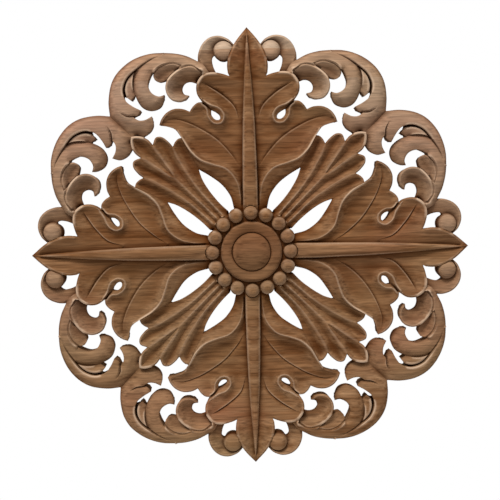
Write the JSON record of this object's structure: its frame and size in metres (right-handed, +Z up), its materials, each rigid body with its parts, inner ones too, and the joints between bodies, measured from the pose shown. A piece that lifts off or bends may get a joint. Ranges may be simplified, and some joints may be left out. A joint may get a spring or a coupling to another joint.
{
  "type": "carved wooden rosette applique",
  "caption": "Round pierced carved wooden rosette with spear leaves, fluted fans, acanthus scrolls and a beaded boss; flat back fixes to furniture, a door or a wall.",
  "frame": {"origin": "centre of the flat back face, where it meets the face it is fixed to", "axes": "+Y out of the flat back, towards the face it is fixed to, so the carving faces -Y; +Z up and +X right as seen from the front, each along a spear leaf"},
  "size_m": [0.3, 0.02, 0.3],
  "materials": {
    "carved_wood": "bare sanded wood, unvarnished, straight grain running across the piece"
  },
  "bodies": {
    "root": {"rosette": "carved_wood"}
  },
  "joints": []
}
